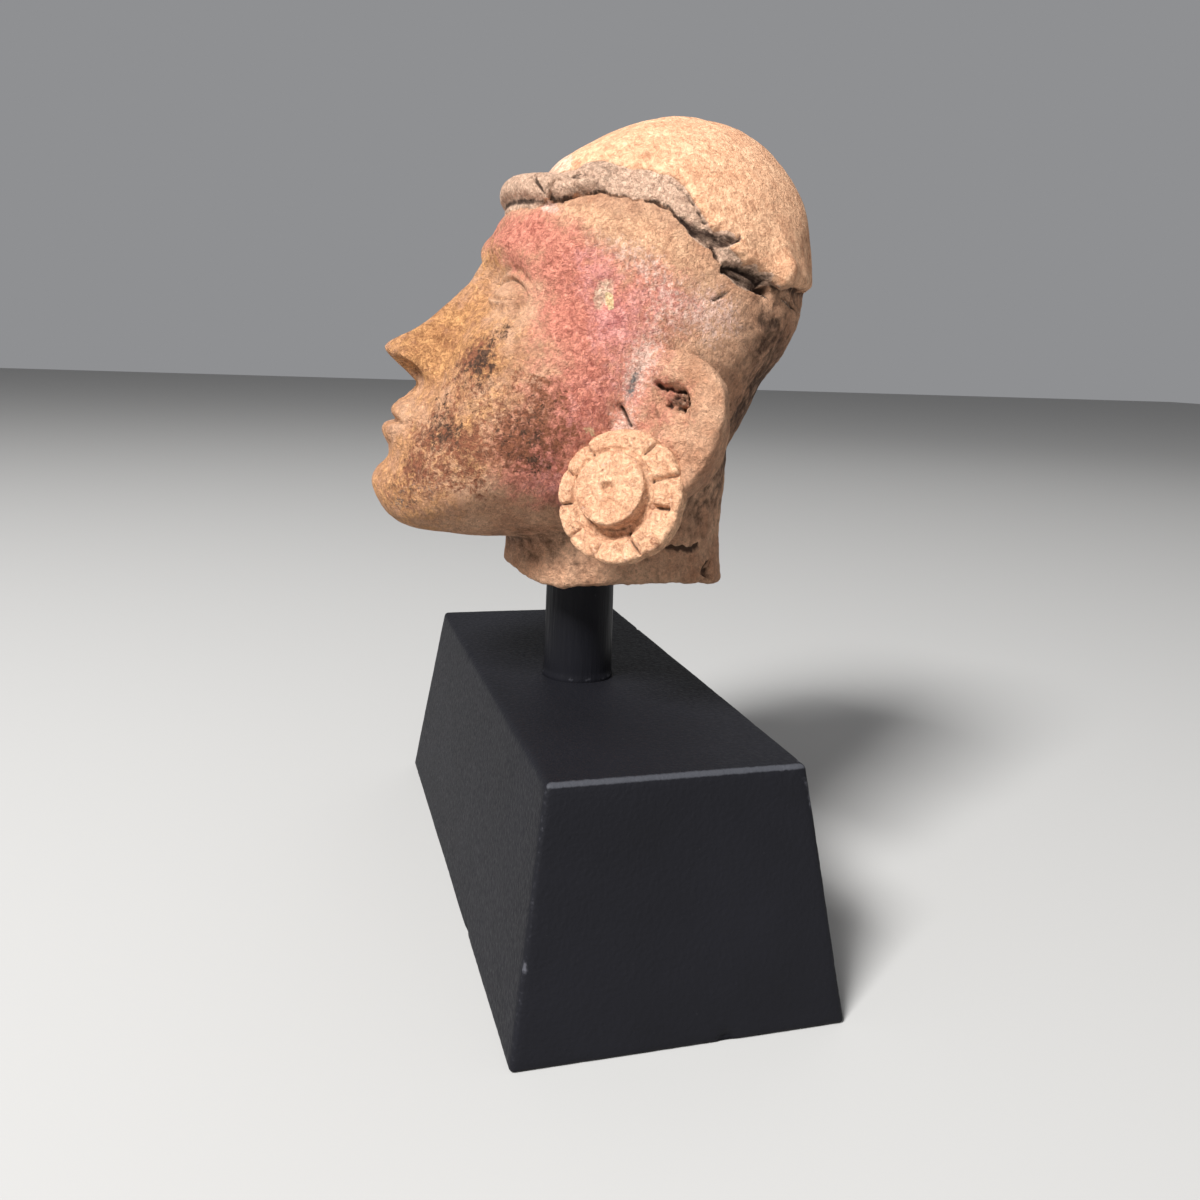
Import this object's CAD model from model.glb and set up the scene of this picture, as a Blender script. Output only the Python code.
# A fired clay head in the manner of ancient Gulf Coast work, on a post and a black painted block.
# The scene is in metres; sizes of the head are worked in millimetres. The face looks along -Y and
# the head's left ear is at +X.

import math

import bpy
import numpy as np
from bpy.props import FloatProperty, FloatVectorProperty, IntProperty, PointerProperty
from mathutils import Matrix, Vector


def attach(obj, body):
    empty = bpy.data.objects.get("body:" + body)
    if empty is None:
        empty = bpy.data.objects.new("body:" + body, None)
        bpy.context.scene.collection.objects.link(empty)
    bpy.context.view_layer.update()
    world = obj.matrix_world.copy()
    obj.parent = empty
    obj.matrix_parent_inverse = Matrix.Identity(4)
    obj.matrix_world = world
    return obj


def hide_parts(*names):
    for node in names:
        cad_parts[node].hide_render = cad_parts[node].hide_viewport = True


bl_info = {
    "name": "Fired clay head on a block",
    "version": (1, 0, 0),
    "blender": (4, 5, 0),
    "location": "View3D > Sidebar > Clay head",
    "description": "Makes the clay head, its ear discs, the post, the painted block and the stage",
    "category": "Add Mesh",
}

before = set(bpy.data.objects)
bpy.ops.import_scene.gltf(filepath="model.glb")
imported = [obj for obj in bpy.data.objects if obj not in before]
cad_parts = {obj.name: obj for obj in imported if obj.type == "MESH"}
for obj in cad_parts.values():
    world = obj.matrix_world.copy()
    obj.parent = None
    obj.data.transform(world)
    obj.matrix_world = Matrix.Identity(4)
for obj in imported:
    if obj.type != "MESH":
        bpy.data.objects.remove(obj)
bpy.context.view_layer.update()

MM = 0.001

# The head's own upright frame: side, forward and up, in millimetres from the head's middle
HEAD_Y = 15.0
HEAD_Z = 205.0
TILT = math.radians(22)
MIDDLE_UP = -12.0
HEAD_MIDDLE = (0, 0, MIDDLE_UP)
HALF_WIDTH = 54.0
ROUNDNESS = 2.15
CROWN = 69.0
HEIGHT = 166.0
CHIN = CROWN - HEIGHT
EYE_SIDE = HEIGHT * 0.65 / 5
EYE_UP = CHIN + HEIGHT * 0.5
BROW_UP = CHIN + HEIGHT * 0.571
NOSE_FOOT_UP = CHIN + HEIGHT * 0.286
MOUTH_UP = CHIN + HEIGHT * 0.195

# The head's middle outline from the side, without the face's relief: forward and up
OUTLINE = (
    (57.5, 12), (58.5, -2), (57, -15), (59.5, -40), (62, -60), (62.5, -76), (61.5, -88),
    (52.5, -96), (34, -93), (14, -86), (-14.6, -77), (-35, -60), (-42, -32), (-45.1, -5.4),
    (-48.2, 12.6), (-48.2, 23), (-44.7, 32.7), (-37.1, 46.1), (-28.8, 57), (-6, 65.5),
    (18, 60), (36.3, 44.5), (48, 28.1),
)

# Soft swellings and hollows: side, forward, up, spread, push
SWELLINGS = (
    (45, 33, -36, 15, 2.6), (41, 6, -70, 18, 3.2), (47, 36, -2, 13, -2.2),
    (43, -30, 24, 8, 2.6), (38, -38, -8, 16, -2.5),
)

# The headband's lower and upper edges round the head: degrees from the face, and height
BAND_LOW = (
    (0, 12.3), (9, 12.6), (21, 14.2), (27, 17.2), (33, 20.1), (42, 25.6), (45, 24.9), (54, 26),
    (60, 27.5), (67, 27.1), (73, 25), (77, 23.2), (83, 22.1), (87, 20.7), (91, 18.1), (95, 16.8),
    (104, 16.2), (110, 18.4), (114, 20.6), (118, 22.3), (124, 23.5), (132, 24.5), (155, 30),
    (180, 31),
)
BAND_HIGH = (
    (0, 27), (17, 28.7), (34, 34), (45, 34.7), (53, 36.3), (62, 36.9), (68, 35.5), (76, 31.3),
    (81, 27.5), (89, 25), (95, 23.5), (100, 21.4), (110, 20.6), (118, 22.8), (124, 24.2),
    (132, 25.2), (155, 30.7), (180, 31.7),
)
SCAR_LIFT = 1.3
CAP_LIFT = 3.4
CHUNK_LIFT = 3.0

# The bar of the band over the forehead: its outer edge, the middle of its height, its bend,
# its section and how far its broken ends lie to the right and to the left
BRIM_FORWARD = 49.4
BRIM_UP = 22.9
BRIM_BEND = 45.0
BRIM_HALF_THICK = 5.3
BRIM_REACH = 12.5
BRIM_DROOP = math.radians(22)
BRIM_ENDS = (-27, 22)

NECK_Y = 7.7
NECK_HALF_WIDTH = 37.0
NECK_HALF_DEPTH = 39.5
NECK_RIM = 113.0
NECK_TOP = 168.0
# The rim is higher at the sides and in front, and the neck spreads into the head
NECK_SIDE_RISE = 6.5
NECK_FRONT_RISE = 7.5
NECK_WAIST = 0.035
NECK_SPREAD = 7.0

# The ear's slanting plane: back, up and outwards, from its middle
EAR_SIDE = 57.0
EAR_FORWARD = 5.0
EAR_TURN = math.radians(44)
EAR_THICK = 9.0
EAR_FACE = 1.0
EAR_OUTLINE = (
    (-0.5, -11.6), (9, -11.2), (17.5, -14.2), (22.2, -20), (25, -29), (25.4, -39), (22.5, -50),
    (14, -60), (2, -63), (-7, -54), (-9.5, -42), (-11, -31), (-11, -22.5), (-7, -15.5),
)
# The ear's inner hollow, inside the raised rim
EAR_HOLLOW = (
    (-0.5, -22.8), (2.2, -20.8), (6.7, -20.2), (10.4, -21.6), (13, -24.8), (14.8, -28.9),
    (16.2, -33.5), (17.5, -38.5), (17, -47), (6, -47), (-1, -43), (-1.5, -37), (1.5, -32),
    (1, -27),
)
# Dark ragged strokes round the ear's hole
EAR_HOLE = (
    ((0.0, -23.1), (3.1, -23.4), (6.0, -22.1), (9.5, -22.6), (11.3, -24.6), (11.0, -26.8)),
    ((5.0, -26.9), (7.9, -27.6), (10.8, -26.8)),
)
EAR_CRACK = ((-7.6, -33.2), (-5.3, -35), (-2.6, -37.4))

DISC_BACK = 4.4
DISC_UP = -58.4
DISC_RADIUS = 20.4
DISC_FACE = 3.6
DISC_THICK = 6.6
BOSS_BACK = 1.8
BOSS_UP = -57.3
BOSS_RADIUS = 11.3
BOSS_PROUD = 2.3
BOSS_ROOT = 3.0
BOSS_DIMPLE = (1.5, -57.5)
# Cuts that part the disc's petals, from inside to outside: ends, width and depth
PETAL_CUTS = (
    ((-7.9, -50.4), (-12.8, -47.6), 0.5, 1.3),
    ((-10.1, -58.6), (-15.2, -57.2), 0.5, 1.3),
    ((-8.4, -65.8), (-13.8, -68.3), 0.55, 1.4),
    ((-2.3, -71.2), (-5.9, -76.6), 0.55, 1.1),
    ((5.7, -71.2), (5.0, -78.2), 0.5, 0.9),
    ((10.4, -66.5), (18.8, -72.0), 0.6, 1.6),
    ((14.0, -57.7), (21.0, -56.0), 0.9, 2.3),
    ((11.8, -50.9), (19.6, -45.9), 0.75, 1.7),
    ((6.6, -45.0), (9.7, -38.4), 0.5, 1.3),
)
# How far the right disc's cuts are turned from the left's
RIGHT_DISC_TURN = math.radians(17)

POST_Y = -4.2
POST_LOW = 57.0
POST_HIGH = 150.0
# The hole in the neck that takes the post: radius, height of its middle, length
SOCKET_RADIUS = 13.4
SOCKET_MIDDLE = 121.0
SOCKET_LENGTH = 60.0


def colour(code):
    """An sRGB hex code as the linear, solid colour that a shader takes."""
    parts = [int(code[i:i + 2], 16) / 255 for i in (1, 3, 5)]
    return (*(c / 12.92 if c <= 0.04045 else ((c + 0.055) / 1.055) ** 2.4 for c in parts), 1.0)


# Shapes of numbers

def bell(distance, spread):
    return np.exp(-((distance / spread) ** 2))


def blunt(distance, spread):
    return np.exp(-((distance / spread) ** 4))


def step(value, low, high):
    share = np.clip((value - low) / (high - low), 0, 1)
    return share * share * (3 - 2 * share)


def lattice(seed=7, count=256):
    """A shuffled list of cells and a slope for each, which bumps() looks up."""
    draw = np.random.default_rng(seed)
    slopes = draw.normal(size=(count, 3))
    slopes /= np.linalg.norm(slopes, axis=1)[:, None]
    return draw.permutation(count).astype(np.int32), slopes.T.astype(np.float32).copy()


SHUFFLED, SLOPES = lattice()


def bumps(points, size, seed):
    """Smooth lumps, about -1 to 1, that are size across, the same at each run."""
    at = (np.asarray(points) / size + np.array((37.1, 91.7, 53.3)) * seed % 256).astype(np.float32)
    floor = np.floor(at)
    wx, wy, wz = (at - floor).T
    cx, cy, cz = floor.astype(np.int32).T
    fx, fy, fz = (w * w * w * (w * (w * 6 - 15) + 10) for w in (wx, wy, wz))

    def pick(i):
        return SHUFFLED[i & 255]

    def slope(cell, x, y, z):
        return SLOPES[0][cell] * x + SLOPES[1][cell] * y + SLOPES[2][cell] * z

    planes = []
    for dx in (0, 1):
        rows = []
        px = pick(cx + dx)
        for dy in (0, 1):
            py = pick(px + cy + dy)
            low = slope(pick(py + cz), wx - dx, wy - dy, wz)
            high = slope(pick(py + cz + 1), wx - dx, wy - dy, wz - 1)
            rows.append(low + (high - low) * fz)
        planes.append(rows[0] + (rows[1] - rows[0]) * fy)
    return (planes[0] + (planes[1] - planes[0]) * fx) * 1.6


def rough(points, size, seed, layers=3):
    """Lumps with finer lumps on them."""
    parts = [bumps(points, size / 2 ** i, seed + i) * 0.55 ** i for i in range(layers)]
    return sum(parts)


def wrapped(x, y, up, radius):
    """Places brought to one radius, so that lumps run on all the way round."""
    turn = np.arctan2(y, x)
    return np.stack([np.cos(turn) * radius, np.sin(turn) * radius, up], 1)


def streaks(points, along, size, seed):
    """Bumps drawn out along one direction, as in torn clay."""
    run = np.array(along, float) / np.linalg.norm(along)
    side = np.cross(run, (0.2, 0.1, 1.0))
    side /= np.linalg.norm(side)
    axes = np.stack([run * 0.16, side, np.cross(run, side)])
    return bumps(points @ axes.T, size, seed)


def distance_from(points, place, reach=1.0):
    """Distance from one place, as a share of the reach if there is one."""
    return np.linalg.norm((points - np.asarray(place, float)) / reach, axis=1)


def nearest_on(points, line):
    """Distance from each point to a line of places, and how far along it, 0 to 1."""
    line = np.asarray(line, float)
    best = np.full(len(points), np.inf)
    along = np.zeros(len(points))
    for i, (a, b) in enumerate(zip(line[:-1], line[1:])):
        share = np.clip((points - a) @ (b - a) / ((b - a) @ (b - a)), 0, 1)
        away = np.linalg.norm(points - a - share[:, None] * (b - a), axis=1)
        nearer = away < best
        best[nearer] = away[nearer]
        along[nearer] = (i + share[nearer]) / (len(line) - 1)
    return best, along


def inside(points, ring):
    """Distance in from a closed ring's edge, less than 0 outside it."""
    ring = np.asarray(ring, float)
    closed = np.vstack([ring, ring[:1]])
    away, _ = nearest_on(points, closed)
    odd = np.zeros(len(points), bool)
    for a, b in zip(closed[:-1], closed[1:]):
        if a[1] == b[1]:
            continue
        crosses = (a[1] > points[:, 1]) != (b[1] > points[:, 1])
        at = a[0] + (points[:, 1] - a[1]) / (b[1] - a[1]) * (b[0] - a[0])
        odd ^= crosses & (points[:, 0] < at)
    return np.where(odd, away, -away)


def rounded_ring(knots, count):
    """A smooth closed ring of count places through the knots."""
    knots = np.asarray(knots, float)
    at = np.arange(count) / count * len(knots)
    i = at.astype(int)
    t = (at - i)[:, None]
    a, b, c, d = (knots[(i + k) % len(knots)] for k in (-1, 0, 1, 2))
    return 0.5 * (2 * b + (c - a) * t + (2 * a - 5 * b + 4 * c - d) * t ** 2
                  + (3 * b - a - 3 * c + d) * t ** 3)


# The head's surface

def to_row(points):
    """Side, forward and up in millimetres, to the scene's frame."""
    side, forward, up = np.asarray(points, float).T
    c, s = math.cos(TILT), math.sin(TILT)
    return np.stack([side, HEAD_Y - forward * c + up * s, HEAD_Z + forward * s + up * c], 1) * MM


def to_head(points):
    """The scene's frame, to side, forward and up in millimetres."""
    x, y, z = (np.asarray(points, float) / MM).T
    y, z = y - HEAD_Y, z - HEAD_Z
    c, s = math.cos(TILT), math.sin(TILT)
    return np.stack([x, z * s - y * c, y * s + z * c], 1)


def to_ear(head, hand):
    """Back, up and outwards on the ear's plane, for the left (1) or right (-1) ear."""
    side, forward = hand * head[:, 0] - EAR_SIDE, head[:, 1] - EAR_FORWARD
    c, s = math.cos(EAR_TURN), math.sin(EAR_TURN)
    return np.stack([side * s - forward * c, head[:, 2], side * c + forward * s], 1)


def from_ear(places, hand):
    back, up, outwards = np.asarray(places, float).T
    c, s = math.cos(EAR_TURN), math.sin(EAR_TURN)
    side = EAR_SIDE + back * s + outwards * c
    forward = EAR_FORWARD - back * c + outwards * s
    return to_row(np.stack([hand * side, forward, up], 1))


def reach_by_angle():
    """The outline's reach from the head's middle at each angle, on a smooth closed curve."""
    places = np.array(OUTLINE, float)
    angle = np.arctan2(places[:, 1] - MIDDLE_UP, places[:, 0])
    reach = np.hypot(places[:, 0], places[:, 1] - MIDDLE_UP)
    order = angle.argsort()
    angle, reach = angle[order], reach[order]
    angle = np.concatenate([angle[-2:] - 2 * math.pi, angle, angle[:2] + 2 * math.pi])
    reach = np.concatenate([reach[-2:], reach, reach[:2]])
    slope = (reach[2:] - reach[:-2]) / (angle[2:] - angle[:-2])

    def at(value):
        i = np.searchsorted(angle, value, side="right") - 1
        span = angle[i + 1] - angle[i]
        t = (value - angle[i]) / span
        t2, t3 = t * t, t * t * t
        return ((2 * t3 - 3 * t2 + 1) * reach[i] + (t3 - 2 * t2 + t) * span * slope[i - 1]
                + (3 * t2 - 2 * t3) * reach[i + 1] + (t3 - t2) * span * slope[i])
    return at


outline_reach = reach_by_angle()


def face_relief(side, up):
    """The face's main forms, as a relief pushed forward from the egg of the head."""
    x = np.abs(side)
    from_eye = up - EYE_UP
    from_foot = up - NOSE_FOOT_UP
    from_mouth = up - MOUTH_UP
    run = np.clip((BROW_UP - 6 - up) / (BROW_UP - 10 - NOSE_FOOT_UP), 0, 1)
    bridge = (2.2 * step(BROW_UP - up, 0, 8) + 13 * run ** 1.1) * bell(x, 4.6 + 2.6 * run)
    ball = 3.2 * bell(x, 7.5) * bell(from_foot - 7, 7)
    wings = 8 * bell(x - 8.2, 4) * bell(from_foot - 5.2, 5)
    nose = (bridge + ball + wings) * step(from_foot, -2.5, 6)
    arch = BROW_UP + 1.5 - ((x - 18) / 13) ** 2 * 2.4
    brow = 2.6 * bell(up - arch, 5) * step(x, 0, 9) * (1 - step(x, 30, 42))
    socket = -6.4 * bell(x - 20, 13.5) * bell(from_eye - 1.5, 10)
    corner = -2.4 * bell(x - 9.5, 4.5) * bell(from_eye - 2, 7)
    eyeball = 6 * bell(x - EYE_SIDE, 9) * bell(from_eye + 0.5, 5.4)
    cheek = 2.4 * bell(x - 29, 12) * bell(from_foot - 12, 11)
    fold = -0.9 * bell(x - 17 - 0.5 * (NOSE_FOOT_UP - up), 4) * bell(from_foot + 5, 9)
    muzzle = 4 * bell(x, 21) * bell(from_mouth - 1, 13)
    upper_lip = 2.3 * bell(from_mouth - 4 + 0.17 * x, 3.1) * blunt(x, 15)
    lower_lip = 2.9 * bell(from_mouth + 4.6 - 0.2 * x, 3.6) * blunt(x, 13)
    lip_line = -1.8 * bell(from_mouth, 1.6) * blunt(x, 16)
    lip_corner = -1.2 * bell(x - 17, 3) * bell(from_mouth, 3)
    chin = 3.6 * bell(x, 13) * bell(up - CHIN - 11, 9) - 1.8 * bell(from_mouth + 12, 4) * bell(x, 17)
    mouth = muzzle + upper_lip + lower_lip + lip_line + lip_corner
    return nose + brow + socket + corner + eyeball + cheek + fold + mouth + chin


def face_detail(side, up):
    """Eyelids, philtrum and lip edges, finer than the main relief."""
    x = np.abs(side)
    from_eye = up - EYE_UP
    from_mouth = up - MOUTH_UP
    across = (x - EYE_SIDE) / 10.8
    open_share = np.clip(1 - across ** 2, 0, 1)
    upper_lid = 4.4 * open_share ** 0.8 + 0.5
    lower_lid = -3.1 * open_share
    into = np.minimum(upper_lid - from_eye, from_eye - lower_lid)
    near = blunt(across, 1.12)
    rims = (1.0 * bell(into + 1.0, 0.95) - 0.9 * bell(into - 0.35, 0.6)) * near
    crease = -0.75 * bell(from_eye - upper_lid - 3.3, 0.9) * blunt(across, 1.0)
    philtrum = (-0.9 * bell(x, 1.7) + 0.5 * bell(x - 3.4, 1.3)) * bell(from_mouth - 10.2, 3.6)
    line = from_mouth + 0.5 * bell(x, 4)
    parting = -1.1 * bell(line, 0.8) * blunt(x, 17)
    upper_edge = 0.5 * bell(from_mouth - 7.6 + 0.3 * x - 0.9 * bell(x, 2.2), 0.9) * blunt(x, 13)
    lower_edge = -0.5 * bell(from_mouth + 9.4 - 0.35 * x, 1.1) * blunt(x, 11)
    wing_crease = -0.9 * bell(x - 12.4, 1.1) * bell(up - NOSE_FOOT_UP - 4.5, 4.4)
    return rims + crease + philtrum + parting + upper_edge + lower_edge + wing_crease


def head_surface(direction, lift):
    """The head's surface in each direction from its middle, lifted along that direction."""
    in_plane = np.hypot(direction[:, 1], direction[:, 2])
    reach = outline_reach(np.arctan2(direction[:, 2], direction[:, 1]))
    fullness = (in_plane / reach) ** ROUNDNESS + (np.abs(direction[:, 0]) / HALF_WIDTH) ** ROUNDNESS
    at = direction * (fullness ** (-1 / ROUNDNESS))[:, None]
    at[:, 2] += MIDDLE_UP
    push = np.array(lift, float)
    for side, forward, up, spread, amount in SWELLINGS:
        away = np.sqrt((np.abs(at[:, 0]) - side) ** 2 + (at[:, 1] - forward) ** 2
                       + (at[:, 2] - up) ** 2)
        push = push + amount * bell(away, spread)
    at = at + direction * push[:, None]
    at[:, 1] += face_relief(at[:, 0], at[:, 2]) * step(at[:, 1], 18, 38)
    return at


def band_places(head):
    """Longitude in degrees, and how far each point is above the band's lower and upper edges."""
    longitude = np.degrees(np.arctan2(head[:, 0], head[:, 1]))
    low = np.interp(np.abs(longitude), *np.array(BAND_LOW, float).T)
    high = np.interp(np.abs(longitude), *np.array(BAND_HIGH, float).T)
    ragged = 0.55 * bumps(head, 6.5, 11) + 0.45 * bumps(head, 2.4, 12) + 0.25 * bumps(head, 1.1, 13)
    behind = step(np.abs(longitude), 60, 95)
    return longitude, head[:, 2] - low - ragged, head[:, 2] - high - ragged * (0.8 + behind)


def band_shares(head, low_edge, high_edge, far_end, cap_edge):
    """How much of the band and of the cap lies at each place, between these soft edges."""
    longitude, above_low, above_high = band_places(head)
    above_neck = step(head[:, 2], -40, 0)
    on_band = step(above_low, *low_edge) * (1 - step(above_high, *high_edge)) * above_neck
    on_band = np.maximum(on_band * (1 - step(np.abs(longitude), *far_end)), on_stub(head))
    return on_band, step(above_high, *cap_edge) * above_neck


def band_lift(head):
    """How far the cap, the band's scar and its broken chunk stand off the bare head."""
    longitude, above_low, above_high = band_places(head)
    turn = np.abs(longitude)
    scar = SCAR_LIFT * step(above_low, -0.4, 0.4)
    fade_in = 3.5 * (1 - step(turn, 50, 64))
    cap = (CAP_LIFT - SCAR_LIFT) * step(above_high, -0.4 - 0.6 * fade_in, 0.5 + 1.6 * fade_in)
    chunk = step(turn, 24, 29) * (1 - step(turn, 36, 43)) * step(above_low, -0.2, 0.6)
    chunk = CHUNK_LIFT * chunk * (1 - 0.8 * step(above_high, -5, 1.5))
    return scar + cap + chunk


# Modelling helpers

def settings():
    return bpy.context.scene.clay_head_settings


def select(*pieces):
    """Selects these pieces alone, the first one active."""
    bpy.ops.object.select_all(action="DESELECT")
    for piece in pieces:
        piece.select_set(True)
    bpy.context.view_layer.objects.active = pieces[0]


def add_primitive(adder, name, **sizes):
    """Adds one primitive with nothing else selected, and names it."""
    bpy.ops.object.select_all(action="DESELECT")
    adder(**sizes)
    piece = bpy.context.object
    piece.name = name
    piece.data.name = name
    bpy.ops.object.transform_apply(location=True, rotation=True, scale=True)
    return piece


def read_points(piece, key="co"):
    flat = np.empty(len(piece.data.vertices) * 3, np.float32)
    piece.data.vertices.foreach_get(key, flat)
    return flat.reshape(-1, 3).astype(float)


def write_points(piece, points):
    piece.data.vertices.foreach_set("co", np.asarray(points, np.float32).ravel())
    piece.data.update()


def read_normals(piece):
    return read_points(piece, "normal")


def read_edges(piece):
    flat = np.empty(len(piece.data.edges) * 2, np.int32)
    piece.data.edges.foreach_get("vertices", flat)
    return flat.reshape(-1, 2)


def choose(piece, kind, wanted):
    """Leaves the piece in edit mode with just the wanted vertices, edges or faces selected."""
    select(piece)
    bpy.ops.object.mode_set(mode="EDIT")
    bpy.ops.mesh.select_mode(type=kind)
    bpy.ops.mesh.select_all(action="DESELECT")
    bpy.ops.object.mode_set(mode="OBJECT")
    parts = {"VERT": piece.data.vertices, "EDGE": piece.data.edges, "FACE": piece.data.polygons}
    parts[kind].foreach_set("select", np.asarray(wanted, bool))
    bpy.ops.object.mode_set(mode="EDIT")


def add_rings(piece, axis, cuts, longer_than=0.0):
    """Cuts the faces across every edge that runs along the axis."""
    points = read_points(piece)
    a, b = read_edges(piece).T
    run = np.abs(points[b] - points[a])
    reach = np.linalg.norm(run, axis=1)
    choose(piece, "EDGE", (run[:, axis] > 0.7 * reach) & (reach > longer_than))
    bpy.ops.mesh.subdivide(number_cuts=cuts)
    bpy.ops.object.mode_set(mode="OBJECT")


def finish_with(piece, kind, **values):
    """Adds a modifier with these values and applies it."""
    select(piece)
    modifier = piece.modifiers.new(kind.title(), kind)
    for key, value in values.items():
        setattr(modifier, key, value)
    bpy.ops.object.modifier_apply(modifier=modifier.name)


def outwards_all(piece):
    choose(piece, "FACE", np.ones(len(piece.data.polygons), bool))
    bpy.ops.mesh.normals_make_consistent(inside=False)
    bpy.ops.object.mode_set(mode="OBJECT")


def fuse(pieces, name, face_size):
    select(*pieces)
    bpy.ops.object.join()
    piece = pieces[0]
    piece.name = name
    piece.data.name = name
    coarser = 1
    finish_with(piece, "REMESH", mode="VOXEL", voxel_size=face_size * coarser)
    return piece


def cut_away(piece, cutter):
    finish_with(piece, "BOOLEAN", operation="DIFFERENCE", solver="MANIFOLD", object=cutter)
    bpy.data.objects.remove(cutter)


def thin_to(piece, triangles):
    """Lets flat places have fewer faces, down to this many triangles."""
    piece.data.calc_loop_triangles()
    share = triangles / len(piece.data.loop_triangles)
    if share < 1:
        finish_with(piece, "DECIMATE", ratio=share)


def neighbour_mean(values, edges, count):
    """The mean of the values at each point's neighbours."""
    a, b = edges.T
    total = np.bincount(a, values[b], len(values)) + np.bincount(b, values[a], len(values))
    return total / count


def relaxed(points, edges, weight, turns):
    """Points drawn towards their neighbours, as a wet thumb would smooth them."""
    count = np.bincount(edges.ravel(), minlength=len(points))
    for _ in range(turns):
        mean = np.stack([neighbour_mean(values, edges, count) for values in points.T], 1)
        points = points + (mean - points) * (0.6 * weight[:, None])
    return points


def store(piece, name, values):
    layer = piece.data.attributes.new(name, "FLOAT", "POINT")
    layer.data.foreach_set("value", np.asarray(values, np.float32))


def hollowness(piece):
    """Above 0 in creases and below 0 on proud edges, over about a millimetre or two."""
    points = read_points(piece)
    edges = read_edges(piece)
    smooth = relaxed(points, edges, np.ones(len(points)), 6)
    depth = ((smooth - points) * read_normals(piece)).sum(1) / MM
    count = np.bincount(edges.ravel(), minlength=len(points))
    for _ in range(2):
        depth = 0.5 * depth + 0.5 * neighbour_mean(depth, edges, count)
    return depth


def complete(piece, material, nodes):
    """Gives the piece its finish and tells the frame what it rides on and stands for."""
    piece.data.materials.clear()
    piece.data.materials.append(material)
    select(piece)
    bpy.ops.object.shade_smooth()
    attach(piece, "root")
    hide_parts(*nodes)


# The clay head

def make_skull():
    """A ball drawn out to the head's egg, its face and the stepped edges of cap and band."""
    ball = add_primitive(bpy.ops.mesh.primitive_uv_sphere_add, "skull", segments=88,
                         ring_count=76, radius=1.0)
    finish_with(ball, "SUBSURF", subdivision_type="SIMPLE", levels=2, render_levels=2)
    unit = read_points(ball)
    unit /= np.linalg.norm(unit, axis=1)[:, None]
    share = np.arccos(np.clip(unit[:, 2], -1, 1)) / math.pi
    from_crown = math.pi * (share + 0.3 * np.sin(2 * math.pi * share) / (2 * math.pi))
    turn = np.arctan2(unit[:, 0], unit[:, 1])
    longitude = turn - 0.5 * np.sin(turn)
    across = np.sin(from_crown)
    direction = np.stack([across * np.sin(longitude), across * np.cos(longitude),
                          np.cos(from_crown)], 1)
    bare = head_surface(direction, 0)
    lifted = head_surface(direction, band_lift(bare))
    write_points(ball, to_row(lifted))
    outwards_all(ball)
    return ball


def make_neck():
    """An oval stub whose broken rim rises at the sides."""
    stub = add_primitive(bpy.ops.mesh.primitive_cylinder_add, "neck", vertices=160, radius=1.0,
                         depth=1.0)
    add_rings(stub, 2, 60)
    x, y, z = read_points(stub).T
    share = z + 0.5
    narrowing = 1 - NECK_WAIST * step(share, 0, 0.35)
    spread = NECK_SPREAD * step(share, 0.4, 1)
    rim = NECK_RIM + NECK_SIDE_RISE * x * x + NECK_FRONT_RISE * np.clip(-y, 0, None) ** 9
    height = rim + (NECK_TOP - rim) * share
    place = np.stack([x * (NECK_HALF_WIDTH * narrowing + spread),
                      NECK_Y + y * NECK_HALF_DEPTH * narrowing, height], 1)
    write_points(stub, place * MM)
    outwards_all(stub)
    return stub


def make_brim():
    """What is left of the band over the forehead: a drooping bar, broken at both ends."""
    bar = add_primitive(bpy.ops.mesh.primitive_cylinder_add, "brim", vertices=96, radius=1.0,
                        depth=1.0)
    add_rings(bar, 2, 90)
    x, y, z = read_points(bar).T
    # Squarer than an oval, as a slab is
    squarer = np.maximum(np.abs(x), np.abs(y)) ** -0.28
    x, y = x * squarer, y * squarer
    low, high = (math.asin(end / BRIM_BEND) for end in BRIM_ENDS)
    turn = low + (high - low) * (z + 0.5)
    slim = 1 - 0.12 * step(np.abs(z), 0.3, 0.5)
    c, s = math.cos(BRIM_DROOP), math.sin(BRIM_DROOP)
    out = slim * (BRIM_REACH * x * c + BRIM_HALF_THICK * y * s)
    rise = slim * (BRIM_HALF_THICK * y * c - BRIM_REACH * x * s)
    radius = BRIM_BEND + out
    head = np.stack([radius * np.sin(turn), BRIM_FORWARD - BRIM_BEND + radius * np.cos(turn),
                     BRIM_UP + rise], 1)
    write_points(bar, to_row(head))
    outwards_all(bar)
    return bar


def make_slab(name, ring, low, high, top_share=1.0, middle=(0, 0)):
    """A flat ring on the ear's plane, drawn out from low to high."""
    slab = add_primitive(bpy.ops.mesh.primitive_circle_add, name, vertices=len(ring), radius=1.0,
                         fill_type="NGON")
    write_points(slab, np.column_stack([ring, np.full(len(ring), low)]) * MM)
    choose(slab, "FACE", np.ones(1, bool))
    bpy.ops.mesh.extrude_region_move(
        TRANSFORM_OT_translate={"value": (0, 0, (high - low) * MM), "orient_type": "GLOBAL"})
    bpy.ops.transform.resize(value=(top_share, top_share, 1),
                             center_override=(middle[0] * MM, middle[1] * MM, high * MM))
    bpy.ops.object.mode_set(mode="OBJECT")
    outwards_all(slab)
    return slab


def set_on_ear(piece, hand):
    write_points(piece, from_ear(read_points(piece) / MM, hand))
    if hand < 0:
        piece.data.flip_normals()
    return piece


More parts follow.
